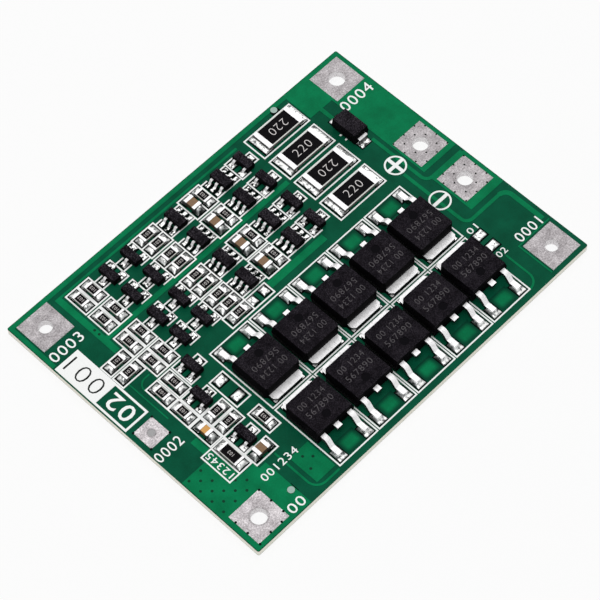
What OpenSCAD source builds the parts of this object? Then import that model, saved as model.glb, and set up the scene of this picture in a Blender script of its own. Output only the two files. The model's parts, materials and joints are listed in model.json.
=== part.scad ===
// Battery management board for four lithium cells in series.
//
// One drilled circuit board carries four identical balancing channels (rows
// along X), ten power transistors in two rows that face each other tab to tab,
// a small control section, and seven solder terminals on its short edges.
//
// Millimetres. The origin is the centre of the underside. +X points to the
// pack terminals, +Y to the first channel and +Z out of the component side.

/* [Board] */
// Length of the board along X
board_l = 60; // [60:1:66]
// Width of the board along Y
board_w = 45; // [45:1:50]
// Thickness of the laminate
board_t = 1.0; // [0.8:0.1:2]
// Radius of the board's corners
corner_r = 0.25; // [0.1:0.05:1.5]

/* [Copper and legend] */
// Height of a tinned pad above the laminate
pad_t = 0.1; // [0.08:0.01:0.15]
// Height of masked copper above the laminate
track_t = 0.04; // [0.02:0.01:0.05]
// Height of the printed legend above the laminate
ink_t = 0.06; // [0.05:0.01:0.07]
// Width of the legend's lines
ink_w = 0.2; // [0.12:0.01:0.24]
// Width of a masked track
track_w = 0.5; // [0.3:0.05:0.7]

/* [Terminals] */
// Side of a large square terminal land
land_side = 5.2; // [4.6:0.1:5.4]
// Side of the second cell tap's smaller land
small_land_side = 3.2; // [2.8:0.1:3.6]
// Hole of the negative end of the pack's cells
cell_0_hole_d = 2.2; // [1:0.1:2.6]
// Hole of the first cell tap
cell_1_hole_d = 1.8; // [1:0.1:2.6]
// Hole of the third cell tap
cell_3_hole_d = 1.9; // [1:0.1:2.6]
// Hole of the positive end of the pack's cells
cell_4_hole_d = 2.3; // [1:0.1:2.6]
// Hole of each of the two pack terminals
pack_hole_d = 2.2; // [1:0.1:2.6]
// Wall of the plated barrel
plating_t = 0.2; // [0.16:0.01:0.3]

/* [Channels] */
// Height along Y of the middle of each channel
channel_y = [18.6, 14.4, 9.7, 5.6]; // [4:0.1:20]
// Length of a 2512 balance resistor
balance_l = 6.35; // [6:0.05:6.5]
// Width of a 2512 balance resistor
balance_w = 3.15; // [3:0.05:3.3]
// Height of a 2512 balance resistor
balance_h = 0.6; // [0.5:0.05:0.8]

/* [Power transistors] */
// Transistors in each of the two rows
mosfets_in_row = 5; // [2:1:5]
// Spacing of the transistors along X
mosfet_pitch = 7.02; // [6.9:0.01:7.1]
// Width of a moulded body along X
mosfet_w = 6.5; // [6.2:0.1:6.7]
// Length of a moulded body along Y
mosfet_l = 6.0; // [5.8:0.1:6.2]
// Height of a moulded body
mosfet_h = 2.3; // [2.1:0.1:2.4]
// Width of the tab
tab_w = 5.2; // [4.8:0.1:5.4]
// Length of the tab outside the body
tab_out = 1.05; // [0.8:0.05:1.2]
// Thickness of the stamped leadframe
leadframe_t = 0.5; // [0.4:0.05:0.6]
// Reach of a leg from the body
leg_reach = 2.95; // [2.8:0.05:3]

/* [Small parts] */
// Length of an 0805 chip
chip_l = 2.0; // [1.8:0.05:2.1]
// Width of an 0805 chip
chip_w = 1.25; // [1.1:0.05:1.35]
// Height of a chip resistor
resistor_h = 0.5; // [0.4:0.05:0.6]
// Height of a chip capacitor
capacitor_h = 0.85; // [0.6:0.05:1]
// Length of an SOT-23 or SOT-23-6 body
sot_l = 3.0; // [2.8:0.05:3.1]
// Width of an SOT-23 body
sot_w = 1.3; // [1.2:0.05:1.4]
// Width of an SOT-23-6 body
six_lead_w = 1.5; // [1.4:0.05:1.7]
// Height of an SOT body
sot_h = 1.1; // [0.9:0.05:1.2]
// Length of the surge diode's body
diode_l = 4.3; // [4:0.1:4.5]
// Width of the surge diode's body
diode_w = 2.6; // [2.4:0.1:2.8]
// Height of the surge diode
diode_h = 2.1; // [1.9:0.1:2.3]

/* [Hidden] */
$fn = 48;

CHANNELS = 4;
seat_z = board_t + pad_t;
half_l = board_l / 2;
half_w = board_w / 2;

// ---- Terminals: name, centre, side of the land, hole (0 = filled) ----
left_x = 3.4 - half_l;
upper_left_x = 3.55 - half_l;
right_x = half_l - 3.3;
top_y = half_w - 3.4;
bottom_y = 3.3 - half_w;
TERMINALS = [
    ["terminal_cell_0", [left_x, bottom_y], land_side, cell_0_hole_d],
    ["terminal_cell_1", [right_x, bottom_y], land_side, cell_1_hole_d],
    ["terminal_cell_2", [2.35 - half_l, -1.55], small_land_side, 0],
    ["terminal_cell_3", [upper_left_x, top_y], land_side, cell_3_hole_d],
    ["terminal_cell_4", [right_x, top_y], land_side, cell_4_hole_d],
    ["terminal_pack_minus", [right_x, -4.15], land_side, pack_hole_d],
    ["terminal_pack_plus", [right_x, 3.8], land_side, pack_hole_d]
];
dimple_d = 1.0;
dimple_depth = 0.05;
underside_land_t = 0.07;

// ---- Where the parts stand: [x, y, turn about Z] ----
pair_dy = 0.95;
chip_resistors_at = concat(
    [for (y = channel_y) for (x = [-20.7, -18.6, 1.1]) [x, y, 90]],
    [for (y = channel_y) for (dy = [-pair_dy, pair_dy]) [-8.1, y + dy, 0]],
    [for (place = [[-23, 1.4], [-20.8, 1.4], [-23, -2.4], [-16.6, -10.2]])
        [place[0], place[1], 90]],
    [for (place = [[-8.1, 2.75], [-20.05, -5.3], [-20.05, -7.4], [-23.75, 8.75], [-23.75, 6.55]])
        [place[0], place[1], 0]]
);
chip_capacitors_at = concat([for (y = channel_y) [-0.78, y, 90]], [[-20.05, -13.1, 0]]);
timing_capacitor_at = [-23, -6.4, 90];
sense_resistor_at = [-23.1, -10.9, 90];
balance_x = 15.22;
balance_dx = [0.2, 0, 0, 0];
balance_dy = [0.4, -0.1, 0, -0.55];
balance_resistors_at =
    [for (i = [0 : CHANNELS - 1]) [balance_x + balance_dx[i], channel_y[i] + balance_dy[i], 0]];

// An SOT-23 has its lone lead on +X before it is turned
control_transistors_at = [[-17.7, 1.4, 0], [-20.0, -2.6, 0], [-20.0, -10.3, 0]];
signal_transistors_at = concat(
    [for (y = channel_y) for (x = [-15.65, -11.85]) [x, y, 180]],
    control_transistors_at
);
balance_switches_at = [for (y = channel_y) [8.4, y - 0.15, 0]];
cell_monitors_at = [for (y = channel_y) [-3.95, y - 0.1, 0]];
balance_controllers_at = [for (y = channel_y) [4.4, y - 0.1, 0]];
diode_at = [21.75, 11.9, 0];

// A power transistor has its legs on +Y before it is turned
MOSFETS = 2 * mosfets_in_row;
mosfet_first_x = -11.5;
upper_row_y = -5.65;
lower_row_y = -14.6;
power_mosfets_at = concat(
    [for (i = [0 : mosfets_in_row - 1]) [mosfet_first_x + i * mosfet_pitch, upper_row_y, 0]],
    [for (i = [0 : mosfets_in_row - 1]) [mosfet_first_x + i * mosfet_pitch, lower_row_y, 180]]
);

// Footprints with no part on them, and the bare round targets
spare_pads_at = [
    [-5.6, 2.8], [-3.55, 2.8],
    [-16.6, -2.5], [-16.6, -5.55],
    [21.5, -11.45], [21.5, -13.65]
];
spare_pad = [1.6, 1.2];
small_spare_pad = [1.1, 1.25];
targets_at = [[17.25, 21.65], [-21.35, -19.5]];
target_d = 0.95;

// ---- Details of the parts ----
draft = 6;
cap_t = 0.05;
chip_cap_l = 0.35;
capacitor_cap_l = 0.5;
timing_cap_l = 0.45;
chip_pad = [1.0, 1.3];
chip_pad_x = 1.15;
sense_size = [3.2, 1.6, 0.55];
timing_size = [1.7, 1.05, 0.85];
sense_pad = [1.1, 1.7];
sense_pad_x = 1.7;
balance_cap_l = 0.7;
balance_coat_w = 2.8;
balance_pad = [1.3, 3.3];
balance_pad_x = 3.25;
coat_rim = 0.1;
coat_proud = 0.03;

sot_pitch = 0.95;
sot_reach = 0.55;
sot_leg = [0.4, 0.13];
sot_pad = [1.0, 0.95];
sot_pad_x = sot_w / 2 + 0.55;
six_lead_pad = [0.95, 0.55];
six_lead_pad_x = six_lead_w / 2 + 0.75;

leg_w = 0.76;
leg_x = 2.32;
leg_exit_z = 1.25;
leg_sunk = 0.5;
stub_out = 0.75;
stub_w = 0.85;
tab_in = 4.4;
tab_chamfer = 0.45;
body_chamfer = 0.6;
ejector_d = 1.2;
ejector_depth = 0.06;
ejector_at = [0.15, mosfet_l / 2 - 1.5];
leg_run = 0.55;
leg_bend_r = 0.4;
leg_slope = 52;
leg_pad = [1.4, 1.85];
leg_pad_y = mosfet_l / 2 + 2.7;
tab_pad = [5.2, 6.0];
tab_pad_y = -1.05;
side_draft = 16;

diode_leg_w = 1.5;
diode_leg_t = 0.2;
diode_leg_out = 0.35;
diode_foot_l = 1.1;
diode_pad = [1.7, 1.9];
diode_pad_y = 2.15;

// ---- Node names ----

// ---- Helpers ----

// Stands its children at each place in a list of [x, y, turn]
module stand_at(places) {
    for (place = places)
        translate([place[0], place[1], 0])
            rotate(place[2])
                children();
}

// A rectangle with round corners, centred
module round_plate(l, w, r) {
    square([l - 2 * r, w], center = true);
    square([l, w - 2 * r], center = true);
    for (x = [-1, 1], y = [-1, 1])
        translate([x * (l / 2 - r), y * (w / 2 - r)])
            circle(r);
}

// A rectangle between two opposite corners
module field(x0, y0, x1, y1) {
    translate([min(x0, x1), min(y0, y1)])
        square([abs(x1 - x0), abs(y1 - y0)]);
}

// Points on an arc in a side view
function arc_points(centre, r, from, to, steps) = [
    for (i = [0 : steps])
        let (a = from + (to - from) * i / steps)
            [centre[0] + r * cos(a), centre[1] + r * sin(a)]
];

// Side view of a gull-wing lead: it leaves a body at x = 0 and height exit_z,
// runs out, slopes down and ends in a flat foot at x = reach, z = 0
function gull_wing(exit_z, run, reach, t, bend_r, slope, sunk, steps) =
    let (
        drop = exit_z - t / 2,
        slant = (drop - 2 * bend_r * (1 - cos(slope))) / sin(slope),
        foot_x = run + 2 * bend_r * sin(slope) + slant * cos(slope),
        knee = [run, exit_z - bend_r],
        ankle = [foot_x, t / 2 + bend_r],
        outer = bend_r + t / 2,
        inner = bend_r - t / 2
    )
    concat(
        [[-sunk, exit_z + t / 2]],
        arc_points(knee, outer, 90, 90 - slope, steps),
        arc_points(ankle, inner, 270 - slope, 270, steps),
        [[reach, t], [reach, 0]],
        arc_points(ankle, outer, 270, 270 - slope, steps),
        arc_points(knee, inner, 90 - slope, 90, steps),
        [[-sunk, exit_z - t / 2]]
    );

// Extrudes a side view (x outwards, y up) to a width, centred on the XZ plane
module swept_side(w) {
    rotate([90, 0, 0])
        linear_extrude(w, center = true)
            children();
}

// End view of a mould's cavity: widest at the parting line, drafted both ways
module drafted_profile(w, h, part_z, upper_draft = draft) {
    low = part_z * tan(draft);
    high = (h - part_z) * tan(upper_draft);
    polygon([
        [low - w / 2, 0], [w / 2 - low, 0], [w / 2, part_z],
        [w / 2 - high, h], [high - w / 2, h], [-w / 2, part_z]
    ]);
}

// A moulded body that stands on z = 0
module moulded_block(w, l, h, part_z) {
    intersection() {
        swept_side(l)
            drafted_profile(w, h, part_z);
        rotate([0, 0, 90])
            swept_side(w)
                drafted_profile(l, h, part_z);
    }
}

// ---- Two-ended chips, length along X, standing on z = 0 ----

// Side view of both wrapped metal ends of a flat chip
module wrapped_ends_profile(l, h, cap_l) {
    difference() {
        translate([-l / 2, 0])
            square([l, h]);
        translate([cap_t - l / 2, cap_t])
            square([l - 2 * cap_t, h - 2 * cap_t]);
        translate([cap_l - l / 2, -1])
            square([l - 2 * cap_l, h + 2]);
    }
}

module wrapped_ends(l, w, h, cap_l) {
    swept_side(w)
        wrapped_ends_profile(l, h, cap_l);
}

module chip_ceramic(l, w, h) {
    translate([cap_t - l / 2, -w / 2, cap_t])
        cube([l - 2 * cap_t, w, h - 2 * cap_t]);
}

module chip_coat(l, w, h, cap_l) {
    translate([cap_l - l / 2, -w / 2, h - cap_t])
        cube([l - 2 * cap_l, w, cap_t + coat_proud]);
}

// Five-sided metal cups on the ends of a chip capacitor
module cupped_ends(l, w, h, cap_l) {
    difference() {
        for (side = [-1, 1])
            translate([side * (l - cap_l) / 2 - cap_l / 2, -w / 2 - cap_t, 0])
                cube([cap_l, w + 2 * cap_t, h + 2 * cap_t]);
        capacitor_block(l, w, h);
    }
}

module capacitor_block(l, w, h) {
    translate([cap_t - l / 2, -w / 2, cap_t])
        cube([l - 2 * cap_t, w, h]);
}

// ---- Leads of the small packages ----

function sot_lead_points() =
    gull_wing(sot_h / 2, 0.14, sot_reach, sot_leg[1], 0.12, 62, 0.2, 2);

module sot_lead() {
    swept_side(sot_leg[0])
        polygon(sot_lead_points());
}

// Pocket that the sunk end of a small lead fills
module sot_lead_pocket() {
    translate([-0.2, -sot_leg[0] / 2, sot_h / 2 - sot_leg[1] / 2])
        cube([0.4, sot_leg[0], sot_leg[1]]);
}

// Places for the three leads of an SOT-23: lone lead on +X
module at_sot_leads() {
    translate([sot_w / 2, 0, 0])
        children();
    for (side = [-1, 1])
        translate([-sot_w / 2, side * sot_pitch, 0])
            rotate(180)
                children();
}

module at_six_leads() {
    for (side = [0, 180], step = [-1 : 1])
        rotate(side)
            translate([six_lead_w / 2, step * sot_pitch, 0])
                children();
}

module sot_body() {
    difference() {
        translate([0, 0, 0.05])
            moulded_block(sot_w, sot_l, sot_h - 0.05, sot_h / 2 - 0.05);
        at_sot_leads()
            sot_lead_pocket();
    }
}

module six_lead_body() {
    pin_mark_d = 0.35;
    difference() {
        translate([0, 0, 0.05])
            moulded_block(six_lead_w, sot_l, sot_h - 0.05, sot_h / 2 - 0.05);
        at_six_leads()
            sot_lead_pocket();
        translate([-six_lead_w / 2 + 0.4, -sot_l / 2 + 0.45, sot_h - 0.04])
            cylinder(h = 1, d = pin_mark_d, $fn = 24);
    }
}

// ---- Power transistor, legs on +Y, standing on z = 0 ----

module mosfet_body() {
    difference() {
        intersection() {
            linear_extrude(mosfet_h)
                mosfet_outline();
            swept_side(mosfet_l)
                drafted_profile(mosfet_w, mosfet_h, leg_exit_z, side_draft);
            rotate([0, 0, 90])
                swept_side(mosfet_w)
                    drafted_profile(mosfet_l, mosfet_h, leg_exit_z);
        }
        drain_plate(1);
        for (x = [-leg_x, leg_x])
            translate([x, mosfet_l / 2, leg_exit_z])
                cube([leg_w, 2 * leg_sunk, leadframe_t], center = true);
        translate([0, mosfet_l / 2, leg_exit_z])
            cube([stub_w, 2 * leg_sunk, leadframe_t], center = true);
        translate([ejector_at[0], ejector_at[1], mosfet_h - ejector_depth])
            cylinder(h = 1, d = ejector_d, $fn = 32);
    }
}

// Plan of the body: its corners beside the tab are cut off
module mosfet_outline() {
    w = mosfet_w / 2;
    l = mosfet_l / 2;
    polygon([
        [-w, l], [w, l], [w, body_chamfer - l], [w - body_chamfer, -l],
        [body_chamfer - w, -l], [-w, body_chamfer - l]
    ]);
}

// The plate under the die and the tab that it ends in. The extra depth below
// lets the same shape cut its seat in the body.
module drain_plate(extra = 0) {
    w = tab_w / 2;
    tip = -mosfet_l / 2 - tab_out;
    heel = tab_in - mosfet_l / 2;
    translate([0, 0, -extra])
        linear_extrude(leadframe_t + extra)
            polygon([
                [-w, heel], [w, heel], [w, tip + tab_chamfer], [w - tab_chamfer, tip],
                [tab_chamfer - w, tip], [-w, tip + tab_chamfer]
            ]);
}

function leg_points() =
    gull_wing(leg_exit_z, leg_run, leg_reach, leadframe_t, leg_bend_r, leg_slope, leg_sunk, 4);

module mosfet_leadframe() {
    color([0.80, 0.80, 0.82]) {
        drain_plate();
        for (x = [-leg_x, leg_x])
            translate([x, mosfet_l / 2, 0])
                rotate(90)
                    swept_side(leg_w)
                        polygon(leg_points());
        translate([-stub_w / 2, mosfet_l / 2 - leg_sunk, leg_exit_z - leadframe_t / 2])
            cube([stub_w, leg_sunk + stub_out, leadframe_t]);
    }
}

// ---- Pads, legend and copper as flat shapes ----

module pad_pair(pad, x) {
    for (side = [-1, 1])
        translate([side * x, 0])
            square(pad, center = true);
}

module pads_flat() {
    stand_at(concat(chip_resistors_at, chip_capacitors_at, [timing_capacitor_at]))
        pad_pair(chip_pad, chip_pad_x);
    stand_at([sense_resistor_at])
        pad_pair(sense_pad, sense_pad_x);
    stand_at(balance_resistors_at)
        pad_pair(balance_pad, balance_pad_x);
    stand_at(concat(signal_transistors_at, balance_switches_at)) {
        translate([sot_pad_x, 0])
            square(sot_pad, center = true);
        for (side = [-1, 1])
            translate([-sot_pad_x, side * sot_pitch])
                square(sot_pad, center = true);
    }
    stand_at(concat(cell_monitors_at, balance_controllers_at))
        for (step = [-1 : 1])
            translate([0, step * sot_pitch])
                pad_pair(six_lead_pad, six_lead_pad_x);
    stand_at(power_mosfets_at) {
        for (x = [-leg_x, leg_x])
            translate([x, leg_pad_y])
                square(leg_pad, center = true);
        translate([0, tab_pad_y])
            square(tab_pad, center = true);
    }
    stand_at([diode_at])
        for (side = [-1, 1])
            translate([0, side * diode_pad_y])
                square(diode_pad, center = true);
    for (i = [0 : len(spare_pads_at) - 1])
        translate(spare_pads_at[i])
            square(i < 2 ? small_spare_pad : spare_pad, center = true);
    for (place = targets_at)
        translate(place)
            circle(d = target_d, $fn = 32);
}

module lands_flat() {
    for (terminal = TERMINALS)
        translate(terminal[1])
            square(terminal[2], center = true);
}

// Outline of a rectangle drawn with the legend's line
module ink_frame(x0, y0, x1, y1, w = ink_w) {
    difference() {
        field(x0 - w / 2, y0 - w / 2, x1 + w / 2, y1 + w / 2);
        field(x0 + w / 2, y0 + w / 2, x1 - w / 2, y1 - w / 2);
    }
}

// A straight legend line along X or Y, with square ends
module ink_line(x0, y0, x1, y1) {
    field(min(x0, x1) - ink_w / 2, min(y0, y1) - ink_w / 2,
          max(x0, x1) + ink_w / 2, max(y0, y1) + ink_w / 2);
}

// A C-shaped legend: an upright at x with one arm at each end, towards arm_x
module ink_bracket(x, arm_x, y0, y1) {
    ink_line(x, y0, x, y1);
    for (y = [y0, y1])
        ink_line(x, y, arm_x, y);
}

// Legend of one channel, drawn about its middle line
module channel_ink() {
    top = 1.9;
    for (x = [-20.7, -18.6])
        ink_frame(x - 0.95, -top, x + 0.95, top);
    // Two transistors with lone leads on -X
    for (x = [-17.55, -13.95])
        for (y = [-0.7, 0.85])
            ink_line(x, y, x + 1.35, y);
    for (x = [-13.95, -10.05])
        ink_line(x - 0.85, 1.8, x, 1.8);
    ink_line(-13.95, -1.65, -13.95, 1.8);
    for (x = [-13.95, -10.05])
        ink_line(x - 1.6, -1.65, x, -1.65);
    // Two resistors over each other
    ink_frame(-10.05, -top, -6.2, top);
    ink_line(-10.05, 0, -6.2, 0);
    // Six-lead chips
    for (x = [-6.1, 2.1]) {
        ink_line(x, -1.5, x + 4.25, -1.5);
        ink_line(x, 1.45, x + 1.0, 1.45);
        ink_line(x + 3.2, 1.45, x + 4.25, 1.45);
    }
    // Capacitor and resistor side by side
    ink_frame(-1.85, -1.95, 0.12, 1.85);
    ink_frame(0.12, -1.95, 2.02, 1.85);
    // Balance switch
    ink_bracket(6.6, 8.1, -1.75, 1.6);
    ink_bracket(10.25, 9.3, -1.0, 0.65);
}

module control_ink() {
    ink_frame(-24.0, -0.5, -22.05, 3.3);
    ink_frame(-21.8, -0.5, -19.8, 3.3);
    ink_bracket(-19.5, -17.95, -0.2, 3.3);
    ink_bracket(-15.85, -16.6, 0.7, 2.35);
    ink_frame(-24.0, -4.25, -22.05, -0.65);
    ink_bracket(-21.85, -20.4, -4.2, -0.75);
    ink_bracket(-18.2, -19.0, -3.3, -1.7);
    ink_frame(-24.0, -8.2, -22.05, -4.45);
    ink_frame(-21.85, -6.2, -18.2, -4.4);
    ink_frame(-21.85, -8.35, -18.2, -6.4);
    ink_frame(-17.8, -6.65, -15.45, -1.7);
    ink_frame(-24.1, -13.4, -22.05, -8.45);
    ink_frame(-25.8, -13.4, -24.1, -8.45);
    ink_bracket(-21.85, -20.4, -11.9, -8.4);
    ink_bracket(-18.2, -19.0, -11.0, -9.4);
    ink_frame(-21.85, -14.15, -18.2, -12.05);
    ink_frame(-17.6, -12.1, -15.65, -8.3);
    ink_frame(-25.7, 7.8, -21.8, 9.7);
    ink_frame(-25.7, 5.55, -21.8, 7.5);
    ink_frame(-10.2, 1.75, -6.25, 3.65);
    ink_frame(-6.25, 1.75, -2.7, 3.65);
}

// White label box with a window in its lower half
module label_ink() {
    difference() {
        field(-29.8, 0.85, -25.85, 13.75);
        field(-29.5, 1.15, -26.15, 6.55);
    }
}

module pack_symbols_ink() {
    symbol_x = 21.95;
    symbol_d = 3.05;
    ring_w = 0.24;
    bar_w = 0.48;
    for (y = [3.85, -4.1])
        translate([symbol_x, y]) {
            difference() {
                circle(d = symbol_d);
                circle(d = symbol_d - 2 * ring_w);
            }
            square([symbol_d - ring_w, bar_w], center = true);
            if (y > 0)
                square([bar_w, symbol_d - ring_w], center = true);
        }
}

module mosfet_ink() {
    heavy = 0.19;
    for (i = [0 : mosfets_in_row - 1]) {
        x = mosfet_first_x + i * mosfet_pitch;
        ink_frame(x - 3.34, -9.97, x + 3.34, 1.2, heavy);
        ink_frame(x - 3.34, -21.5, x + 3.34, -10.35, heavy);
    }
}

module balance_ink() {
    for (place = balance_resistors_at)
        translate([balance_x, place[1]])
            ink_frame(-4.3, -1.95, 4.1, 1.9, 0.2);
}

module diode_ink() {
    for (y = [11.4, 12.4])
        translate([20.5, y])
            square([0.3, 0.25], center = true);
}

module ink_flat() {
    difference() {
        union() {
            for (y = channel_y)
                translate([0, y])
                    channel_ink();
            control_ink();
            label_ink();
            pack_symbols_ink();
            mosfet_ink();
            balance_ink();
            diode_ink();
        }
        pads_flat();
        lands_flat();
    }
}

// A track that runs to a corner and turns through it with a round bend
module track_bend(corner, r, w, from_x, from_y) {
    sx = sign(from_x - corner[0]);
    sy = sign(from_y - corner[1]);
    centre = [corner[0] + sx * r, corner[1] + sy * r];
    field(centre[0], corner[1] - w / 2, from_x, corner[1] + w / 2);
    field(corner[0] - w / 2, centre[1], corner[0] + w / 2, from_y);
    intersection() {
        translate(centre)
            difference() {
                circle(r + w / 2);
                circle(r - w / 2);
            }
        field(centre[0], centre[1], centre[0] - sx * (r + w), centre[1] - sy * (r + w));
    }
}

module copper_flat() {
    edge = 0.1;
    x_end = half_l - edge;
    y_end = half_w - edge;
    // Positive pour round the upper right corner
    field(19.7, 17.2, x_end, y_end);
    field(23.75, 0.4, x_end, 17.3);
    field(21.4, 15.0, 22.0, 17.3);
    // Cell bus along the upper edge and between the channels
    field(-x_end, 21.75, 19.75, y_end);
    field(-x_end, 14.0, -29.3, 21.8);
    field(-23.0, 10.0, -22.1, 21.1);
    field(-22.2, 20.75, 9.5, 21.1);
    field(-22.2, 11.9, 10.4, 12.65);
    field(-2.5, 2.35, 7.6, 3.45);
    // Negative pour round the lower left corner
    field(-x_end, -16.4, -24.0, -9.2);
    field(-x_end, -y_end, -20.8, -14.6);
    field(-24.2, -14.7, -21.9, -13.6);
    field(-18.4, -21.05, -15.2, -16.3);
    track_bend([-19.15, -21.75], 1.6, 0.3, -15.2, -14.5);
    // Pour round the negative pack land
    field(23.7, -8.0, x_end, -1.0);
    // Sense lines to the pack terminals
    track_bend([21.7, -9.05], 1.1, track_w, 28.2, 2.1);
    track_bend([29.05, -9.05], 1.2, track_w + 0.2, 28.0, -15.6);
    track_bend([22.95, -0.85], 1.1, track_w, 29.6, 9.0);
    track_bend([21.6, -21.5], 1.6, 0.3, 19.9, -15.9);
    // Border of the first cell land
    field(23.65, -21.9, 23.85, -16.1);
    field(23.65, -16.3, 29.6, -16.1);
    // Lines round the second cell land
    field(-24.93, -1.6, -24.77, 5.4);
    track_bend([-24.1, 4.65], 1.3, 0.2, -22.1, 3.2);
    field(-25.3, -9.1, -24.3, -6.0);
    // Windows between the legs of the power transistors
    for (place = power_mosfets_at)
        translate([place[0], place[1] + (place[2] == 0 ? 1 : -1) * (mosfet_l / 2 + 2.4)])
            square([3.0, 2.4], center = true);
}

// ---- Sub-parts ----

module circuit_board() {
    color([0.05, 0.34, 0.24])
        difference() {
            linear_extrude(board_t)
                round_plate(board_l, board_w, corner_r);
            for (terminal = TERMINALS)
                translate(terminal[1]) {
                    translate([0, 0, -1])
                        cylinder(h = board_t + 2, d = barrel_d(terminal));
                    linear_extrude(2 * underside_land_t, center = true)
                        square(terminal[2], center = true);
                }
        }
}

function barrel_d(terminal) =
    (terminal[3] == 0 ? dimple_d : terminal[3]) + 2 * plating_t;

module terminal(spec) {
    color([0.72, 0.70, 0.70])
        translate(spec[1])
            difference() {
                union() {
                    translate([0, 0, board_t])
                        linear_extrude(pad_t)
                            square(spec[2], center = true);
                    cylinder(h = board_t + pad_t, d = barrel_d(spec));
                    linear_extrude(underside_land_t)
                        square(spec[2], center = true);
                }
                if (spec[3] > 0)
                    translate([0, 0, -1])
                        cylinder(h = board_t + 2, d = spec[3]);
                else
                    translate([0, 0, seat_z - dimple_depth])
                        cylinder(h = 1, d = dimple_d);
            }
}

module copper_tracks() {
    color([0.04, 0.50, 0.31])
        translate([0, 0, board_t])
            linear_extrude(track_t)
                difference() {
                    copper_flat();
                    ink_flat();
                    pads_flat();
                    lands_flat();
                }
}

module silkscreen() {
    color([0.95, 0.96, 0.95])
        translate([0, 0, board_t])
            linear_extrude(ink_t)
                ink_flat();
}

module solder_pads() {
    color([0.80, 0.80, 0.80])
        translate([0, 0, board_t])
            linear_extrude(pad_t)
                pads_flat();
}

// Lifts a part onto the pads at its place
module on_pads(place) {
    translate([0, 0, seat_z])
        stand_at([place])
            children();
}

module power_mosfet(i) {
    color([0.11, 0.10, 0.12])
        on_pads(power_mosfets_at[i - 1])
            mosfet_body();
}

module balance_resistor(i) {
    color([0.92, 0.92, 0.90])
        on_pads(balance_resistors_at[i - 1])
            chip_ceramic(balance_l, balance_w, balance_h);
}

module small_body(place, leads) {
    color([0.11, 0.10, 0.12])
        on_pads(place)
            if (leads == 6)
                six_lead_body();
            else
                sot_body();
}

module balance_switch_leads() {
    color([0.82, 0.82, 0.84])
        translate([0, 0, seat_z])
            stand_at(balance_switches_at)
                at_sot_leads()
                    sot_lead();
}

module ic_leads() {
    color([0.82, 0.82, 0.84])
        translate([0, 0, seat_z])
            stand_at(concat(cell_monitors_at, balance_controllers_at))
                at_six_leads()
                    sot_lead();
}

module signal_transistors() {
    color([0.11, 0.10, 0.12])
        translate([0, 0, seat_z])
            stand_at(signal_transistors_at)
                sot_body();
}

module signal_transistor_leads() {
    color([0.82, 0.82, 0.84])
        translate([0, 0, seat_z])
            stand_at(signal_transistors_at)
                at_sot_leads()
                    sot_lead();
}

// Surge diode, leads on +Y and -Y
module surge_diode() {
    part_z = diode_h / 2 - diode_leg_t;
    color([0.10, 0.10, 0.11])
        on_pads(diode_at)
            difference() {
                translate([0, 0, diode_leg_t])
                    moulded_block(diode_w, diode_l, diode_h - diode_leg_t, part_z);
                for (side = [-1, 1])
                    translate([0, side * diode_l / 2, diode_leg_t + part_z])
                        cube([diode_leg_w, 0.6, diode_leg_t], center = true);
            }
}

// Side view of a lead that leaves the body at half height, turns down and
// folds back under it
module folded_lead_profile() {
    top = diode_h / 2 + diode_leg_t / 2;
    out = diode_leg_out;
    t = diode_leg_t;
    polygon([
        [-0.3, top], [out - 0.15, top], [out, top - 0.15], [out, 0.1], [out - 0.1, 0],
        [-diode_foot_l, 0], [-diode_foot_l, t], [out - t, t], [out - t, top - t], [-0.3, top - t]
    ]);
}

module surge_diode_leads() {
    color([0.82, 0.82, 0.84])
        on_pads(diode_at)
            for (side = [-90, 90])
                rotate(side)
                    translate([diode_l / 2, 0, 0])
                        swept_side(diode_leg_w)
                            folded_lead_profile();
}

module chip_resistors() {
    color([0.92, 0.92, 0.90])
        translate([0, 0, seat_z])
            stand_at(chip_resistors_at)
                chip_ceramic(chip_l, chip_w, resistor_h);
}

module chip_capacitors() {
    color([0.55, 0.42, 0.31])
        translate([0, 0, seat_z])
            stand_at(chip_capacitors_at)
                capacitor_block(chip_l, chip_w, capacitor_h);
}

module timing_capacitor() {
    color([0.85, 0.64, 0.36])
        on_pads(timing_capacitor_at)
            capacitor_block(timing_size[0], timing_size[1], timing_size[2]);
}

module sense_resistor() {
    color([0.92, 0.92, 0.90])
        on_pads(sense_resistor_at)
            chip_ceramic(sense_size[0], sense_size[1], sense_size[2]);
}

module chip_end_caps() {
    color([0.84, 0.84, 0.84])
        translate([0, 0, seat_z]) {
            stand_at(chip_resistors_at)
                wrapped_ends(chip_l, chip_w, resistor_h, chip_cap_l);
            stand_at([sense_resistor_at])
                wrapped_ends(sense_size[0], sense_size[1], sense_size[2], chip_cap_l);
            stand_at(balance_resistors_at)
                wrapped_ends(balance_l, balance_w, balance_h, balance_cap_l);
            stand_at(chip_capacitors_at)
                cupped_ends(chip_l, chip_w, capacitor_h, capacitor_cap_l);
            stand_at([timing_capacitor_at])
                cupped_ends(timing_size[0], timing_size[1], timing_size[2], timing_cap_l);
        }
}

module resistor_coats() {
    color([0.10, 0.10, 0.11])
        translate([0, 0, seat_z]) {
            stand_at(chip_resistors_at)
                chip_coat(chip_l, chip_w - 2 * coat_rim, resistor_h, chip_cap_l);
            stand_at([sense_resistor_at])
                chip_coat(sense_size[0], sense_size[1] - 2 * coat_rim, sense_size[2], chip_cap_l);
            stand_at(balance_resistors_at)
                chip_coat(balance_l, balance_coat_w, balance_h, balance_cap_l);
        }
}

// ---- The nodes ----

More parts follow.
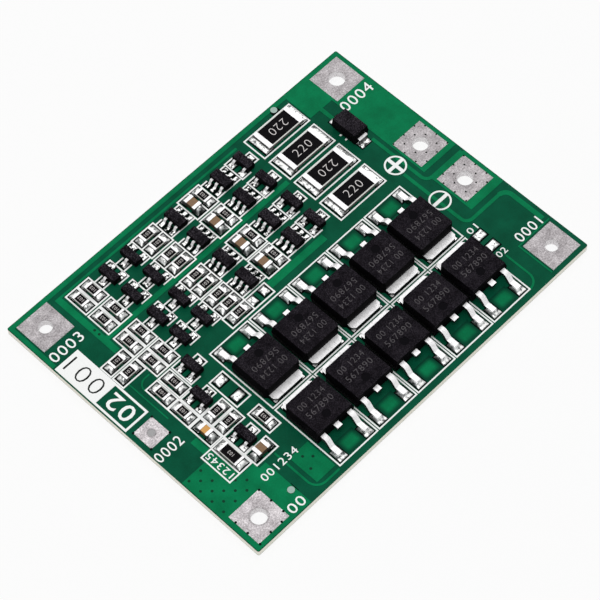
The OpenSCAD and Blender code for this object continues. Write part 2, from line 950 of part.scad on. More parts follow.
circuit_board();
copper_tracks();
silkscreen();
solder_pads();
for (spec = TERMINALS)
    terminal(spec);
for (i = [1 : MOSFETS]) {
    power_mosfet(i);
    on_pads(power_mosfets_at[i - 1]) mosfet_leadframe();
}
for (i = [1 : CHANNELS]) {
    balance_resistor(i);
    small_body(balance_switches_at[i - 1], 3);
    small_body(cell_monitors_at[i - 1], 6);
    small_body(balance_controllers_at[i - 1], 6);
}
balance_switch_leads();
ic_leads();
signal_transistors();
signal_transistor_leads();
surge_diode();
surge_diode_leads();
chip_resistors();
chip_capacitors();
timing_capacitor();
sense_resistor();
chip_end_caps();
resistor_coats();
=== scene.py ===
"""Looks of the battery management board: materials, solder, print, vias and light.

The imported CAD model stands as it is. This script finishes its surfaces and adds
what is too fine for the construction: solder fillets, printed numbers, plated
vias and mould marks. It works in metres, in the model's own frame. Named sizes
and tables are in millimetres, unless their comment says metres.
"""

import json
import math
import random

import bmesh
import bpy
from mathutils import Matrix, Vector


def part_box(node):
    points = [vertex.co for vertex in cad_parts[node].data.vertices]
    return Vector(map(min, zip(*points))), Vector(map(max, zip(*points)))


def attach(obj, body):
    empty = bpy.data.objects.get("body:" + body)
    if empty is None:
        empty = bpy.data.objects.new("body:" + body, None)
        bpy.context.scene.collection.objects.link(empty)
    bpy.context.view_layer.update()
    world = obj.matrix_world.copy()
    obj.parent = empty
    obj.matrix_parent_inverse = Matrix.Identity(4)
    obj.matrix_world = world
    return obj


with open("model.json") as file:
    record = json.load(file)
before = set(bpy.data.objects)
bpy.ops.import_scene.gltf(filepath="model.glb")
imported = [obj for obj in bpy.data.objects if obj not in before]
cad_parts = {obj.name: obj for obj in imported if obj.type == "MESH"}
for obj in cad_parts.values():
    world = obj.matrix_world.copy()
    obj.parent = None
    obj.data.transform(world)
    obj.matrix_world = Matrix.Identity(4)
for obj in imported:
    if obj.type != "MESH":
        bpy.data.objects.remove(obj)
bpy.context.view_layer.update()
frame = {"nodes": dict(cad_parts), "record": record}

MM = 0.001
RECORD = frame["record"]

# Power transistors 1 to 5 are the first row, 6 to 10 the second
MOSFETS_IN_ROW = 5
MOSFETS = range(1, 2 * MOSFETS_IN_ROW + 1)
SMALL_LEADS = ["ic_leads", "signal_transistor_leads", "balance_switch_leads", "surge_diode_leads"]

# Vertices of a CAD mesh that lie closer than this are one
WELD_GAP = 0.001


# ---------------------------------------------------------------- colours

def linear(red, green, blue):
    """A display colour of 0 to 255 as the linear RGBA that a shader takes."""
    def channel(value):
        value /= 255
        return value / 12.92 if value <= 0.04045 else ((value + 0.055) / 1.055) ** 2.4
    return (channel(red), channel(green), channel(blue), 1.0)


def grey(value):
    """A neutral display grey of 0 to 255."""
    return linear(value, value, value)


WHITE = grey(255)
MASK_DARK = linear(4, 72, 50)
MASK_MID = linear(7, 88, 62)
COPPER_DARK = linear(4, 106, 66)
COPPER_LIGHT = linear(7, 128, 81)
# Painted shade at the edges of the copper windows between the power transistors' legs
WINDOW_PAINTED_SHADE = linear(3, 62, 44)
LAMINATE_CORE = linear(250, 248, 238)
LAMINATE_FIBRE = linear(236, 232, 216)


# ---------------------------------------------------------------- shader building

def feed(tree, socket, value):
    """Links an output to a socket, or sets a plain number or colour on it."""
    if isinstance(value, bpy.types.NodeSocket):
        tree.links.new(value, socket)
    else:
        socket.default_value = value


def math_node(tree, operation, *values):
    """The result of a math node on outputs or plain numbers."""
    node = tree.nodes.new("ShaderNodeMath")
    node.operation = operation
    for socket, value in zip(node.inputs, values):
        feed(tree, socket, value)
    return node.outputs[0]


class Surface:
    """A procedural material on one Principled shader, with its texture space in millimetres."""

    def __init__(self, name, roughness, metallic=0.0, specular=0.5):
        self.material = bpy.data.materials.new(name)
        self.material.use_nodes = True
        self.tree = self.material.node_tree
        self.shader = self.tree.nodes["Principled BSDF"].inputs
        self.shader["Roughness"].default_value = roughness
        self.shader["Metallic"].default_value = metallic
        self.shader["Specular IOR Level"].default_value = specular
        place = self.add("ShaderNodeTexCoord")
        scale = self.add("ShaderNodeVectorMath", operation="SCALE")
        scale.inputs["Scale"].default_value = 1 / MM
        self.link(place.outputs["Object"], scale.inputs[0])
        self.space = scale.outputs[0]
        facing = self.add("ShaderNodeSeparateXYZ")
        self.link(place.outputs["Normal"], facing.inputs[0])
        self.upward = facing.outputs["Z"]

    def add(self, kind, **settings):
        """A new node with its properties set."""
        node = self.tree.nodes.new(kind)
        for key, value in settings.items():
            setattr(node, key, value)
        return node

    def link(self, output, socket):
        """Joins an output to a socket."""
        self.tree.links.new(output, socket)

    def math(self, operation, *values):
        """A math node's result."""
        return math_node(self.tree, operation, *values)

    def apart(self, first, second):
        """How far two numbers are apart."""
        return self.math("ABSOLUTE", self.math("SUBTRACT", first, second))

    def shares(self, first, share, second):
        """share of the first factor and the rest of the second."""
        return self.math("ADD", self.math("MULTIPLY", first, share),
                         self.math("MULTIPLY", second, 1 - share))

    def position(self):
        """The X, Y and Z of a point, in millimetres."""
        node = self.add("ShaderNodeSeparateXYZ")
        self.link(self.space, node.inputs[0])
        return node.outputs

    def upright(self):
        """1 on walls and 0 on faces that look up or down."""
        return self.math("LESS_THAN", self.math("ABSOLUTE", self.upward), 0.5)

    def noise(self, size_mm, detail=3.0, roughness=0.6, stretch=None):
        """Noise whose grains are about size_mm across."""
        space = self.space
        if stretch:
            mapping = self.add("ShaderNodeMapping")
            mapping.inputs["Scale"].default_value = stretch
            self.link(space, mapping.inputs["Vector"])
            space = mapping.outputs["Vector"]
        node = self.add("ShaderNodeTexNoise")
        node.inputs["Scale"].default_value = 1 / size_mm
        node.inputs["Detail"].default_value = detail
        node.inputs["Roughness"].default_value = roughness
        self.link(space, node.inputs["Vector"])
        return node.outputs["Fac"]

    def ramp(self, factor, stops):
        """Colours by factor: stops is a list of (position, colour)."""
        node = self.add("ShaderNodeValToRGB")
        elements = node.color_ramp.elements
        while len(elements) < len(stops):
            elements.new(0.5)
        for element, (position, colour) in zip(elements, stops):
            element.position = position
            element.color = colour
        self.link(factor, node.inputs["Fac"])
        return node.outputs["Color"]

    def blend(self, factor, first, second, how="MIX"):
        """Two colours mixed, each of them an output or a plain colour."""
        node = self.add("ShaderNodeMix", data_type="RGBA", blend_type=how)
        for socket, value in (("Factor", factor), ("A", first), ("B", second)):
            feed(self.tree, node.inputs[socket], value)
        return node.outputs["Result"]

    def multiply(self, first, second):
        """The product of two colours."""
        return self.blend(1.0, first, second, how="MULTIPLY")

    def fade(self, distance, end, start):
        """1 up to start and 0 past end, with a smooth step between them."""
        node = self.add("ShaderNodeMapRange", interpolation_type="SMOOTHSTEP")
        node.inputs["From Min"].default_value = end
        node.inputs["From Max"].default_value = start
        self.link(distance, node.inputs["Value"])
        return node.outputs["Result"]

    def colour(self, output):
        """Gives the surface its colour."""
        self.link(output, self.shader["Base Color"])

    def vary_roughness(self, factor, low, high):
        """Lets the roughness follow a factor."""
        node = self.add("ShaderNodeMapRange")
        node.inputs["To Min"].default_value = low
        node.inputs["To Max"].default_value = high
        self.link(factor, node.inputs["Value"])
        self.link(node.outputs["Result"], self.shader["Roughness"])

    def bump(self, height, depth_mm, strength):
        """Lets the surface rise and fall with a factor."""
        node = self.add("ShaderNodeBump")
        node.inputs["Strength"].default_value = strength
        node.inputs["Distance"].default_value = depth_mm * MM
        self.link(height, node.inputs["Height"])
        self.link(node.outputs["Normal"], self.shader["Normal"])


# ---------------------------------------------------------------- board materials

# Copper windows between the power transistors' legs, whose edges get painted shade: half
# their size along X and Y, half the part of it that shows the copper in full without painted
# shade, and how far their middle is from the bodies
WINDOW_HALF = (1.5, 1.2)
WINDOW_CORE = (0.65, 0.35)
WINDOW_Y = 2.4
# How far past a window's end the copper is plain again
WINDOW_MARGIN = 0.02
# How far the mask runs down the board's cut edges
EDGE_MASK = 0.05


def mask_surface(name, dark, light):
    """Solder mask: glossy lacquer with faint cloudiness and the laminate's weave under it.
    Gives the surface and its colour, which is not linked yet."""
    surface = Surface(name, roughness=0.42, specular=0.03)
    cloud = surface.noise(size_mm=2.6, detail=2.0)
    grain = surface.noise(size_mm=0.16, detail=4.0, roughness=0.7)
    colour = surface.ramp(surface.shares(cloud, 0.55, grain), [(0.36, dark), (0.64, light)])
    surface.vary_roughness(grain, low=0.3, high=0.5)
    surface.bump(grain, depth_mm=0.012, strength=0.5)
    return surface, colour


def copper_surface():
    """Mask over copper. Between the legs of the power transistors, painted shade darkens it towards each
    window's edges, beside the bodies and the legs.
    """
    surface, plain = mask_surface("masked_copper", COPPER_DARK, COPPER_LIGHT)
    place = surface.position()
    first, second, last = (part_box(f"power_mosfet_{index}") for index in (1, 2, MOSFETS_IN_ROW))
    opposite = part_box(f"power_mosfet_{MOSFETS_IN_ROW + 1}")
    first_x = (first[0].x + first[1].x) / 2 / MM
    last_x = (last[0].x + last[1].x) / 2 / MM
    pitch = (second[0].x - first[0].x) / MM
    wrapped = surface.math("WRAP", place["X"], first_x + pitch / 2, first_x - pitch / 2)
    aside = surface.apart(wrapped, first_x)
    away = surface.math("MINIMUM",
                        surface.apart(place["Y"], first[1].y / MM + WINDOW_Y),
                        surface.apart(place["Y"], opposite[0].y / MM - WINDOW_Y))
    in_window = surface.math("MULTIPLY",
                             surface.fade(aside, WINDOW_HALF[0], WINDOW_CORE[0]),
                             surface.fade(away, WINDOW_HALF[1], WINDOW_CORE[1]))
    from_middle = surface.apart(place["X"], (first_x + last_x) / 2)
    beside_rows = surface.math("GREATER_THAN", from_middle, (last_x - first_x + pitch) / 2)
    off_windows = surface.math("GREATER_THAN", away, WINDOW_HALF[1] + WINDOW_MARGIN)
    elsewhere = surface.math("MAXIMUM", beside_rows, off_windows)
    copper = surface.math("MAXIMUM", in_window, elsewhere)
    # Painted shade: towards each window's edges the colour turns to the dark shade colour
    surface.colour(surface.blend(copper, WINDOW_PAINTED_SHADE, plain))
    return surface


def board_surface():
    """Solder mask on both faces, bare glass-epoxy core on the cut edges."""
    surface, mask_colour = mask_surface("solder_mask", MASK_DARK, MASK_MID)
    fibre = surface.noise(size_mm=0.25, detail=4.0, stretch=(0.15, 0.15, 3.0))
    core = surface.ramp(fibre, [(0.35, LAMINATE_FIBRE), (0.65, LAMINATE_CORE)])
    lowest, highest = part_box("circuit_board")
    middle = (lowest.z + highest.z) / 2 / MM
    half_core = (highest.z - lowest.z) / 2 / MM - EDGE_MASK
    from_middle = surface.apart(surface.position()["Z"], middle)
    in_core = surface.math("LESS_THAN", from_middle, half_core)
    bare = surface.math("MULTIPLY", surface.upright(), in_core)
    surface.colour(surface.blend(bare, mask_colour, core))
    return surface


def ink_surface():
    """Screen-printed white ink, a little uneven."""
    surface = Surface("legend_ink", roughness=0.6, specular=0.2)
    grain = surface.noise(size_mm=0.12, detail=4.0, roughness=0.7)
    surface.colour(surface.ramp(grain, [(0.3, linear(236, 240, 238)), (0.5, linear(253, 254, 253))]))
    surface.bump(grain, depth_mm=0.01, strength=0.5)
    return surface


# ---------------------------------------------------------------- metal materials

def solder_surface(name, patch_mm, patch_grey, patch_level, patch_edge):
    """Reflowed solder, bright on top. Painted shade and painted reflection darken it where it is
    steep and would mirror the board. Darker patches lie where the noise is under patch_level,
    with edges patch_edge wide."""
    surface = Surface(name, roughness=0.32, metallic=0.85)
    patch_noise = surface.noise(size_mm=patch_mm)
    grain = surface.noise(size_mm=0.09, detail=4.0, roughness=0.7)
    # Painted shade and painted reflection: darker as the surface turns away from upward
    painted_slope_shade = surface.ramp(surface.upward, [
        (0.1, linear(28, 32, 32)),
        (0.5, linear(112, 115, 115)),
        (0.78, linear(212, 214, 214)),
        (0.95, linear(251, 251, 250)),
    ])
    # Darker patches from noise, multiplied in
    dark_patches = surface.ramp(patch_noise, [
        (patch_level, linear(patch_grey, patch_grey + 3, patch_grey + 4)),
        (patch_level + patch_edge, linear(252, 252, 251)),
    ])
    surface.colour(surface.multiply(painted_slope_shade, dark_patches))
    surface.vary_roughness(grain, low=0.22, high=0.48)
    surface.bump(grain, depth_mm=0.02, strength=0.6)
    return surface


def terminal_surface(name, painted_light_level):
    """Levelled tin on the large lands: dull, with a sandy grain, and with painted light that makes its
    walls and hole walls brighter than its top.
    """
    surface = Surface(name, roughness=0.55, metallic=0.4, specular=0.2)
    patches = surface.noise(size_mm=1.4)
    grain = surface.noise(size_mm=0.22, detail=5.0, roughness=0.75)
    mixed = surface.shares(patches, 0.3, grain)
    # A painted_light_level above 1 gives a lighter copy of the tin, as painted light
    top = surface.ramp(mixed, [
        (position, linear(level * painted_light_level, (level - 5) * painted_light_level, (level - 3) * painted_light_level))
        for position, level in ((0.38, 122), (0.5, 166), (0.62, 208))
    ])
    # Painted light: the walls get a lighter colour than the top
    painted_lit_walls = surface.ramp(grain, [(0.4, linear(214, 211, 212)), (0.6, linear(244, 242, 243))])
    surface.colour(surface.blend(surface.upright(), top, painted_lit_walls))
    surface.vary_roughness(grain, low=0.42, high=0.62)
    surface.bump(mixed, depth_mm=0.03, strength=0.7)
    return surface


def lead_surface():
    """Tin-plated stampings, brushed along the strip, with painted shade that darkens their walls."""
    surface = Surface("lead_metal", roughness=0.38, metallic=0.2)
    streaks = surface.noise(size_mm=0.22, stretch=(1.0, 0.35, 1.0))
    grain = surface.noise(size_mm=0.08)
    # Painted shade: the walls are darker than the top
    painted_slope_shade = surface.ramp(surface.upward, [(0.0, linear(30, 32, 32)), (0.5, grey(250)), (0.9, grey(252))])
    shine = surface.ramp(streaks, [(0.3, linear(220, 218, 219)), (0.5, linear(254, 253, 254))])
    surface.colour(surface.multiply(painted_slope_shade, shine))
    surface.vary_roughness(grain, low=0.2, high=0.42)
    surface.bump(streaks, depth_mm=0.01, strength=0.5)
    return surface


# ---------------------------------------------------------------- package materials

def epoxy_surface(name, grain_mm, fleck):
    """Spark-eroded black moulding: an even grain with pale flecks, and painted shade on its walls."""
    surface = Surface(name, roughness=0.62, specular=0.02)
    grain = surface.noise(size_mm=grain_mm, detail=4.0, roughness=0.7)
    cloud = surface.noise(size_mm=1.8, detail=2.0)
    mixed = surface.shares(cloud, 0.2, grain)
    black = surface.ramp(mixed, [(0.38, linear(6, 5, 7)), (0.5, linear(22, 19, 24)), (0.62, fleck)])
    # Painted shade: the walls are darker than the top
    shade = surface.ramp(surface.upward, [(0.3, grey(120)), (0.9, WHITE)])
    surface.colour(surface.multiply(black, shade))
    surface.vary_roughness(grain, low=0.52, high=0.72)
    surface.bump(grain, depth_mm=0.012, strength=0.6)
    return surface


def ceramic_surface(name, low, high):
    """Fired ceramic with a fine grain, and painted shade on its walls."""
    surface = Surface(name, roughness=0.55, specular=0.15)
    grain = surface.noise(size_mm=0.09, detail=4.0, roughness=0.7)
    # Painted shade: the walls are darker than the top
    shade = surface.ramp(surface.upward, [(0.1, grey(120)), (0.8, WHITE)])
    surface.colour(surface.multiply(surface.ramp(grain, [(0.35, low), (0.65, high)]), shade))
    surface.vary_roughness(grain, low=0.45, high=0.65)
    surface.bump(grain, depth_mm=0.008, strength=0.5)
    return surface


def glaze_surface():
    """The black overcoat of a chip resistor."""
    surface = Surface("resistor_glaze", roughness=0.35, specular=0.02)
    grain = surface.noise(size_mm=0.15, detail=4.0, roughness=0.7)
    surface.colour(surface.ramp(grain, [(0.35, linear(5, 4, 6)), (0.68, linear(22, 20, 23))]))
    surface.vary_roughness(grain, low=0.28, high=0.45)
    surface.bump(grain, depth_mm=0.01, strength=0.5)
    return surface


def mark_surface(name, dark, light, specular=0.1):
    """A thin matt layer for marks, dots and small faces, grained from dark to light."""
    surface = Surface(name, roughness=0.7, specular=specular)
    grain = surface.noise(size_mm=0.08, detail=4.0, roughness=0.8)
    surface.colour(surface.ramp(grain, [(0.38, dark), (0.66, light)]))
    surface.bump(grain, depth_mm=0.006, strength=0.4)
    return surface


SLOT_SURFACES = {
    "solder_mask": board_surface(),
    "masked_copper": copper_surface(),
    "legend_ink": ink_surface(),
    "tinned_copper": solder_surface("tinned_copper", patch_mm=0.4, patch_grey=108,
                                    patch_level=0.37, patch_edge=0.15),
    "terminal_tin": terminal_surface("terminal_tin", painted_light_level=1.0),
    "moulded_epoxy": epoxy_surface("moulded_epoxy", grain_mm=0.12, fleck=linear(52, 48, 54)),
    "lead_metal": lead_surface(),
    "chip_ceramic": ceramic_surface("chip_ceramic", linear(214, 214, 208), linear(240, 240, 235)),
    "brown_ceramic": ceramic_surface("brown_ceramic", linear(118, 92, 68), linear(148, 120, 94)),
    "tan_ceramic": ceramic_surface("tan_ceramic", linear(206, 148, 76), linear(228, 174, 104)),
    "resistor_glaze": glaze_surface(),
}
COARSE_EPOXY = epoxy_surface("coarse_epoxy", grain_mm=0.16, fleck=linear(68, 64, 70))
OWN_SURFACES = [
    # start of the node's name, surface
    # Painted light: lighter copies of the terminal tin for these two lands
    ("terminal_cell_0", terminal_surface("terminal_tin_painted_lighter", painted_light_level=1.11)),
    ("terminal_cell_2", terminal_surface("terminal_tin_painted_lightest", painted_light_level=1.18)),
    ("cell_monitor_", COARSE_EPOXY),
    ("balance_controller_", COARSE_EPOXY),
    ("balance_switch_", COARSE_EPOXY),
    ("signal_transistors", COARSE_EPOXY),
    ("surge_diode", COARSE_EPOXY),
]
FINE_SOLDER = solder_surface("fine_solder", patch_mm=0.32, patch_grey=12,
                             patch_level=0.43, patch_edge=0.08)
LASER_MARK = mark_surface("laser_mark", linear(44, 42, 45), linear(108, 104, 107))
# Painted reflection: a darker matt face that stands for the dark look of the ejector recess's smooth
# floor
EJECTOR_PAINTED_REFLECTION = mark_surface("ejector_floor_painted_reflection", linear(17, 16, 19), linear(22, 21, 24), specular=0.0)
CHIP_MARK = mark_surface("chip_mark", linear(150, 145, 145), linear(226, 221, 219))
RESISTOR_MARK = mark_surface("resistor_mark", linear(196, 191, 190), linear(240, 236, 234))
LABEL_MARK = mark_surface("label_mark", linear(16, 20, 18), linear(36, 42, 38))
# Painted shade: near-black dots that stand for the dark inside of the open via holes
VIA_HOLE_PAINTED_SHADE = mark_surface("via_hole_painted_shade", linear(8, 18, 15), linear(22, 34, 29), specular=0.0)
FILLED_VIA = mark_surface("filled_via", linear(4, 48, 32), linear(7, 70, 46))
TARGET_TIN = mark_surface("target_tin", linear(150, 172, 164), linear(184, 206, 198))
DULL_TIN = mark_surface("dull_tin", linear(156, 155, 156), linear(184, 183, 184))
# Painted shade: a near-black sheet round the pads and between the leads
MASK_OPENING_PAINTED_SHADE = mark_surface("mask_opening_painted_shade", linear(3, 10, 8), linear(6, 22, 17), specular=0.0)


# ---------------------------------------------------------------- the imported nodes

SOFT_EDGES = [
    # start of the nodes' names, width of the rounding
    ("power_mosfet_", 0.1),
    ("cell_monitor_", 0.05),
    ("balance_controller_", 0.05),
    ("balance_switch_", 0.05),
    ("signal_transistors", 0.05),
    ("surge_diode", 0.06),
]
# Edges that turn by more than this are rounded
SHARP_EDGE = math.radians(35)


def dress_cad_nodes():
    """Gives every CAD node the surface of its record slot, or the slot's variant for that node."""
    for subpart in RECORD["subparts"]:
        slot = subpart["material_slot"]
        surface = SLOT_SURFACES[slot]
        if slot in ("moulded_epoxy", "terminal_tin"):
            for start, own in OWN_SURFACES:
                if subpart["node"].startswith(start):
                    surface = own
        materials = frame["nodes"][subpart["node"]].data.materials
        materials.clear()
        materials.append(surface.material)


def soften_edges(start, width_mm):
    """Rounds the sharp edges of the nodes whose names begin with start, by modifiers that
    leave their meshes alone."""
    for name, node in frame["nodes"].items():
        if not name.startswith(start):
            continue
        weld = node.modifiers.new("weld", "WELD")
        weld.merge_threshold = WELD_GAP * MM
        bevel = node.modifiers.new("soft_edges", "BEVEL")
        bevel.width = width_mm * MM
        bevel.segments = 2
        bevel.limit_method = "ANGLE"
        bevel.angle_limit = SHARP_EDGE


class Box:
    """Axis-aligned box of a node or of one of its solids, in metres."""

    def __init__(self, low, high):
        self.low = low
        self.high = high
        self.centre = (low + high) / 2
        self.size = high - low

    def holds(self, point):
        """Whether a point lies inside the box, seen from above."""
        return self.low.x <= point.x <= self.high.x and self.low.y <= point.y <= self.high.y

    def overlaps(self, other):
        """Whether two boxes share some ground, seen from above."""
        return (self.low.x < other.high.x and self.high.x > other.low.x
                and self.low.y < other.high.y and self.high.y > other.low.y)

    def common(self, other):
        """The ground that two boxes share, seen from above."""
        return Box(Vector((max(self.low.x, other.low.x), max(self.low.y, other.low.y), 0)),
                   Vector((min(self.high.x, other.high.x), min(self.high.y, other.high.y), 0)))


def box_around(points):
    """Box of a list of points."""
    return Box(Vector(min(point[axis] for point in points) for axis in range(3)),
               Vector(max(point[axis] for point in points) for axis in range(3)))


def node_box(name):
    """Box of a whole CAD node."""
    return Box(*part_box(name))


def solids_of(node_name):
    """Boxes of the separate solids in a CAD node, in order of Y and then X."""
    mesh = frame["nodes"][node_name].data
    keys = [tuple(round(value / (WELD_GAP * MM)) for value in vertex.co) for vertex in mesh.vertices]
    parent = {key: key for key in keys}

    def root(key):
        while parent[key] != key:
            parent[key] = parent[parent[key]]
            key = parent[key]
        return key

    for polygon in mesh.polygons:
        first = root(keys[polygon.vertices[0]])
        for index in polygon.vertices[1:]:
            parent[root(keys[index])] = first
    groups = {}
    for key, vertex in zip(keys, mesh.vertices):
        groups.setdefault(root(key), []).append(vertex.co)
    boxes = [box_around(points) for points in groups.values()]
    return sorted(boxes, key=lambda box: (round(box.centre.y, 5), round(box.centre.x, 5)))


def nearest(pads, solid):
    """The pad whose middle is nearest to a solid's, seen from above."""
    return min(pads, key=lambda pad: (pad.centre - solid.centre).xy.length)


# ---------------------------------------------------------------- shapes and pieces

def add_piece(name, shape, surface, smooth=True):
    """Makes a bmesh a piece of the board and gives it its finish."""
    bmesh.ops.recalc_face_normals(shape, faces=shape.faces)
    mesh = bpy.data.meshes.new(name)
    shape.to_mesh(mesh)
    shape.free()
    for polygon in mesh.polygons:
        polygon.use_smooth = smooth
    mesh.materials.append(surface.material)
    piece = bpy.data.objects.new(name, mesh)
    bpy.context.scene.collection.objects.link(piece)
    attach(piece, "root")


def disc(shape, centre, radius, thickness, sides):
    """A thin closed disc standing on centre."""
    lower = []
    upper = []
    for k in range(sides):
        angle = math.tau * k / sides
        edge = centre + Vector((radius * math.cos(angle), radius * math.sin(angle), 0))
        lower.append(shape.verts.new(edge))
        upper.append(shape.verts.new(edge + Vector((0, 0, thickness))))
    shape.faces.new(upper)
    shape.faces.new(list(reversed(lower)))
    for k in range(sides):
        after = (k + 1) % sides
        shape.faces.new((lower[k], lower[after], upper[after], upper[k]))


def collar(shape, centre, inner, outer, height, sides):
    """A low ring with a rounded crest."""
    quarter = 0.25 * (outer - inner)
    profile = [(inner, 0.0), (inner + quarter, 0.8), (0.5 * (inner + outer), 1.0),
               (outer - quarter, 0.8), (outer, 0.0)]
    rings = []
    for k in range(sides):
        angle = math.tau * k / sides
        way = Vector((math.cos(angle), math.sin(angle), 0))
        rings.append([shape.verts.new(centre + way * radius + Vector((0, 0, height * level)))
                      for radius, level in profile])
    for k in range(sides):
        this, following = rings[k], rings[(k + 1) % sides]
        for j in range(len(profile)):
            after = (j + 1) % len(profile)
            shape.faces.new((this[j], following[j], following[after], this[after]))


# ---------------------------------------------------------------- solder

# Height that is left at the rim of a lump of solder
LEAST_SOLDER = 0.004
# Chip fillets: how far they reach back into the end cap, their share of the pad's width, and
# the least and most share of the cap's height that they climb
FILLET_OVERLAP = 0.02
FILLET_WIDTH = 0.98
FILLET_CLIMB = (0.6, 0.85)
# On a pad wider than this a fillet climbs only this share of that
WIDE_PAD = 3.0
WIDE_PAD_CLIMB = 0.45
# Height of the lump on a pad, and how much more there is round the lead's foot
SMALL_LEAD_HEIGHT = 0.05
SMALL_LEAD_WICK = 0.07
POWER_LEG_HEIGHT = 0.18
POWER_LEG_WICK = 0.26
BARE_PAD_HEIGHT = 0.17
# Reach of the solder that climbs a foot, and the share by which a lump's top ripples
WICK_REACH = 0.16
RIPPLE = 0.12
# Power transistors: the cut stub stays this far above the body's lowest point, and only the
# tab is wider than this. A leg's foot is this long and lies on its pad this far from its tip
STUB_RISE = 0.3
TAB_WIDTH = 3.0
FOOT_LENGTH = 1.3
FOOT_MIDDLE = 0.5
# Round targets are the pads that are as long as wide within EQUAL_SIDES and narrower than
# TARGET_WIDTH, and the faces laid on them are this thick
EQUAL_SIDES = 0.01
TARGET_WIDTH = 1.05
TARGET_THICKNESS = 0.01


def solder_field(shape, start, along, length, width, height_at, steps):
    """A closed lump of solder on a pad. It starts at start, runs along a unit vector, and
    height_at(u, v) gives its height, with u from 0 to 1 along it and v from -1 to 1 across."""
    across = Vector((-along.y, along.x, 0))
    last_i, last_j = steps
    rows = []
    feet = []
    for i in range(last_i + 1):
        u = i / last_i
        top_row = []
        foot_row = []
        for j in range(last_j + 1):
            v = 2 * j / last_j - 1
            base = start + along * (u * length) + across * (v * width / 2)
            height = max(LEAST_SOLDER * MM, height_at(u, v))
            top_row.append(shape.verts.new(base + Vector((0, 0, height))))
            foot_row.append(base)
        rows.append(top_row)
        feet.append(foot_row)
    for i in range(last_i):
        for j in range(last_j):
            shape.faces.new((rows[i][j], rows[i + 1][j], rows[i + 1][j + 1], rows[i][j + 1]))
    rim = ([(i, 0) for i in range(last_i)] + [(last_i, j) for j in range(last_j)]
           + [(i, last_j) for i in range(last_i, 0, -1)] + [(0, j) for j in range(last_j, 0, -1)])
    crest = [rows[i][j] for i, j in rim]
    ring = [shape.verts.new(feet[i][j]) for i, j in rim]
    for k in range(len(rim)):
        after = (k + 1) % len(rim)
        shape.faces.new((crest[k], crest[after], ring[after], ring[k]))
    shape.faces.new(ring)


def pillow(u, power):
    """1 in the middle of -1..1 and 0 at its ends, with steeper shoulders for a higher power."""
    return 1 - abs(u) ** power


def chip_fillets(pads):
    """A rounded blob from each chip's end cap down to the outer edge of its pad."""
    shape = bmesh.new()
    dice = random.Random(7)
    for cap in solids_of("chip_end_caps"):
        pad = nearest(pads, cap)
        offset = pad.centre - cap.centre
        axis = 0 if abs(offset.x) > abs(offset.y) else 1
        along = Vector((0, 0, 0))
        along[axis] = math.copysign(1, offset[axis])
        outward = along[axis] > 0
        start_at = cap.high[axis] if outward else cap.low[axis]
        end_at = pad.high[axis] if outward else pad.low[axis]
        start = Vector((pad.centre.x, pad.centre.y, pad.high.z))
        start[axis] = start_at
        width = pad.size[1 - axis]
        climb = WIDE_PAD_CLIMB if width > WIDE_PAD * MM else 1.0
        crest = cap.size.z * dice.uniform(*FILLET_CLIMB) * climb
        lean = dice.uniform(-0.2, 0.2)

        def height_at(u, v, crest=crest, lean=lean):
            return crest * pillow(u, 2.2) * pillow(v, 3.5) * (1 + lean * v)

        overlap = FILLET_OVERLAP * MM
        solder_field(shape, start - along * overlap, along, abs(end_at - start_at) + overlap,
                     width * FILLET_WIDTH, height_at, steps=(9, 11))
    add_piece("chip_solder_fillets", shape, SLOT_SURFACES["tinned_copper"])


def lump(shape, pad, height, dice, foot=None, wick=0.0, steps=(9, 9)):
    """A soft lump of solder over a whole pad, higher round the foot that stands in it."""
    start = Vector((pad.low.x, pad.centre.y, pad.high.z))
    lean_u = dice.uniform(-0.25, 0.25)
    lean_v = dice.uniform(-0.25, 0.25)
    ripple = dice.uniform(0, math.tau)

    def height_at(u, v):
        x = 2 * u - 1
        level = height * pillow(x, 4) * pillow(v, 4)
        level *= 1 + lean_u * x + lean_v * v + RIPPLE * math.sin(5 * x + 4 * v + ripple)
        if foot:
            point_x = pad.low.x + u * pad.size.x
            point_y = pad.centre.y + v * pad.size.y / 2
            gap_x = max(0.0, foot.low.x - point_x, point_x - foot.high.x)
            gap_y = max(0.0, foot.low.y - point_y, point_y - foot.high.y)
            gap = math.hypot(gap_x, gap_y) / (WICK_REACH * MM)
            level += wick * math.exp(-gap * gap) * pillow(x, 8) * pillow(v, 8)
        return level

    solder_field(shape, start, Vector((1, 0, 0)), pad.size.x, pad.size.y, height_at, steps)


def lead_solder(pads):
    """Solder round the feet of every gull-wing and folded lead."""
    shape = bmesh.new()
    dice = random.Random(11)
    for node in SMALL_LEADS:
        for lead in solids_of(node):
            pad = nearest(pads, lead)
            lump(shape, pad, SMALL_LEAD_HEIGHT * MM, dice, lead.common(pad),
                 wick=SMALL_LEAD_WICK * MM, steps=(7, 7))
    add_piece("small_lead_solder", shape, FINE_SOLDER)


def leg_solder(pads):
    """Solder round the legs of the power transistors."""
    shape = bmesh.new()
    dice = random.Random(5)
    for index in MOSFETS:
        body = node_box(f"power_mosfet_{index}")
        for solid in solids_of(f"mosfet_leadframe_{index}"):
            is_stub = solid.low.z > body.low.z + STUB_RISE * MM
            is_tab = solid.size.x > TAB_WIDTH * MM
            if is_stub or is_tab:
                continue
            outward = math.copysign(1, solid.centre.y - body.centre.y)
            tip = solid.high.y if outward > 0 else solid.low.y
            middle = Vector((solid.centre.x, tip - outward * FOOT_MIDDLE * MM, 0))
            pad = next(pad for pad in pads if pad.holds(middle))
            inner = tip - outward * FOOT_LENGTH * MM
            foot = Box(Vector((solid.low.x, min(inner, tip), 0)),
                       Vector((solid.high.x, max(inner, tip), 0)))
            lump(shape, pad, POWER_LEG_HEIGHT * MM, dice, foot,
                 wick=POWER_LEG_WICK * MM, steps=(12, 14))
    add_piece("power_leg_solder", shape, SLOT_SURFACES["tinned_copper"])


